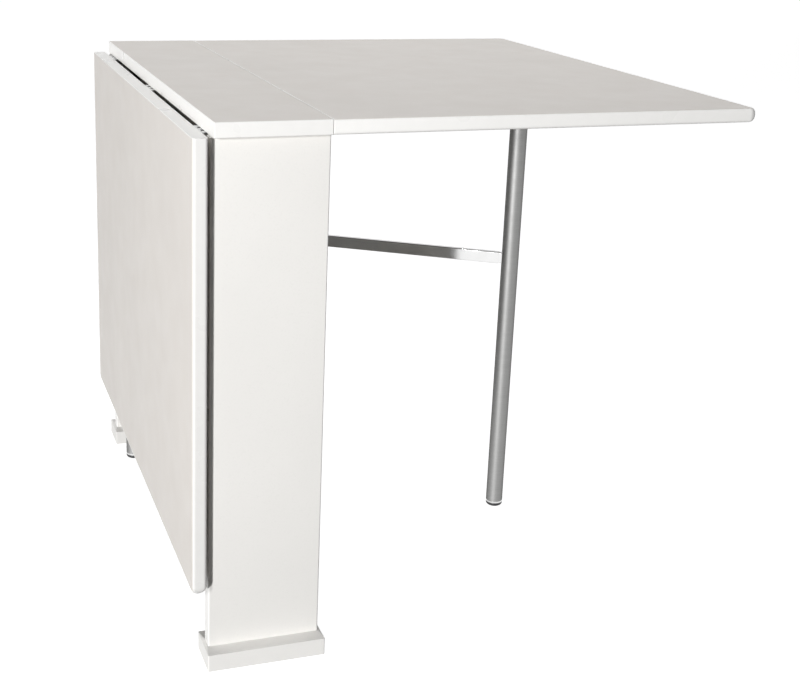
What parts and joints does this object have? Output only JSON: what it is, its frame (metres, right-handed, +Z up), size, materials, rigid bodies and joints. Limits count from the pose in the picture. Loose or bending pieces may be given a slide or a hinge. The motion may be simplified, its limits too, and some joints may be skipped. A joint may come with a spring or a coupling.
{
  "type": "drop-leaf table with storage cabinet",
  "caption": "Drop-leaf kitchen table whose leaves fold up onto swinging gate legs from a slim cabinet with open shelves between end panels.",
  "frame": {"origin": "floor centre of the bounding box of this pose, with the right leaf up and the left leaf hanging", "axes": "+Z up; +X towards the raised leaf's free edge; +Y along the table's depth, from the near end panel to the far one"},
  "size_m": [0.7998, 0.844, 0.75],
  "materials": {
    "white_laminate": "smooth white laminate with white edging, slight sheen",
    "white_moulding": "white, fine grained",
    "satin_steel": "satin silver tube",
    "bar_chrome": "bright chrome plating",
    "black_plastic": "black end plug",
    "zinc_steel": "bright zinc plating",
    "grey_nylon": "pale grey nylon washer",
    "beech": "plain beech"
  },
  "bodies": {
    "base": {"fixed_top": "white_laminate", "near_end_panel": "white_laminate", "far_end_panel": "white_laminate", "cabinet_back": "white_laminate", "cabinet_bottom": "white_laminate", "cabinet_top_rail": "white_laminate", "cabinet_divider": "white_laminate", "cabinet_stile": "white_laminate", "near_lower_shelf": "white_laminate", "near_upper_shelf": "white_laminate", "far_lower_shelf": "white_laminate", "far_upper_shelf": "white_laminate", "near_shoe": "white_moulding", "far_shoe": "white_moulding", "cabinet_dowels": "beech", "shelf_pins": "zinc_steel", "top_rail_screws": "zinc_steel", "right_top_hinge_flaps": "zinc_steel", "right_top_hinge_screws": "zinc_steel", "right_hinge_pins": "zinc_steel", "right_gate_bracket": "zinc_steel", "right_gate_pin": "zinc_steel", "right_gate_bracket_screws": "zinc_steel", "right_gate_washers": "grey_nylon", "left_top_hinge_flaps": "zinc_steel", "left_top_hinge_screws": "zinc_steel", "left_hinge_pins": "zinc_steel", "left_gate_bracket": "zinc_steel", "left_gate_pin": "zinc_steel", "left_gate_bracket_screws": "zinc_steel", "left_gate_washers": "grey_nylon"},
    "right_leaf": {"right_leaf": "white_laminate", "right_leaf_hinge_flaps": "zinc_steel", "right_leaf_hinge_screws": "zinc_steel"},
    "left_leaf": {"left_leaf": "white_laminate", "left_leaf_hinge_flaps": "zinc_steel", "left_leaf_hinge_screws": "zinc_steel"},
    "right_gate": {"right_gate_leg": "satin_steel", "right_gate_foot": "black_plastic", "right_gate_cap": "black_plastic", "right_gate_bar": "bar_chrome", "right_gate_saddle": "bar_chrome", "right_gate_sleeve": "bar_chrome"},
    "left_gate": {"left_gate_leg": "satin_steel", "left_gate_foot": "black_plastic", "left_gate_cap": "black_plastic", "left_gate_bar": "bar_chrome", "left_gate_saddle": "bar_chrome", "left_gate_sleeve": "bar_chrome"}
  },
  "joints": [
    {"name": "right_leaf_fold", "type": "hinge", "parent": "base", "child": "right_leaf", "pos_m": [-0.21655, 0, 0.7275], "axis": [0, -1, 0], "range_deg": [0, 1.5]},
    {"name": "left_leaf_fold", "type": "hinge", "parent": "base", "child": "left_leaf", "pos_m": [-0.37735, 0, 0.7275], "axis": [0, 1, 0], "range_deg": [0, 90]},
    {"name": "right_gate_swing", "type": "hinge", "parent": "base", "child": "right_gate", "pos_m": [-0.23745, 0.238, 0.444], "axis": [0, 0, 1], "range_deg": [-57, 33]},
    {"name": "left_gate_swing", "type": "hinge", "parent": "base", "child": "left_gate", "pos_m": [-0.35645, -0.238, 0.444], "axis": [0, 0, 1], "range_deg": [0, 0.7]}
  ]
}
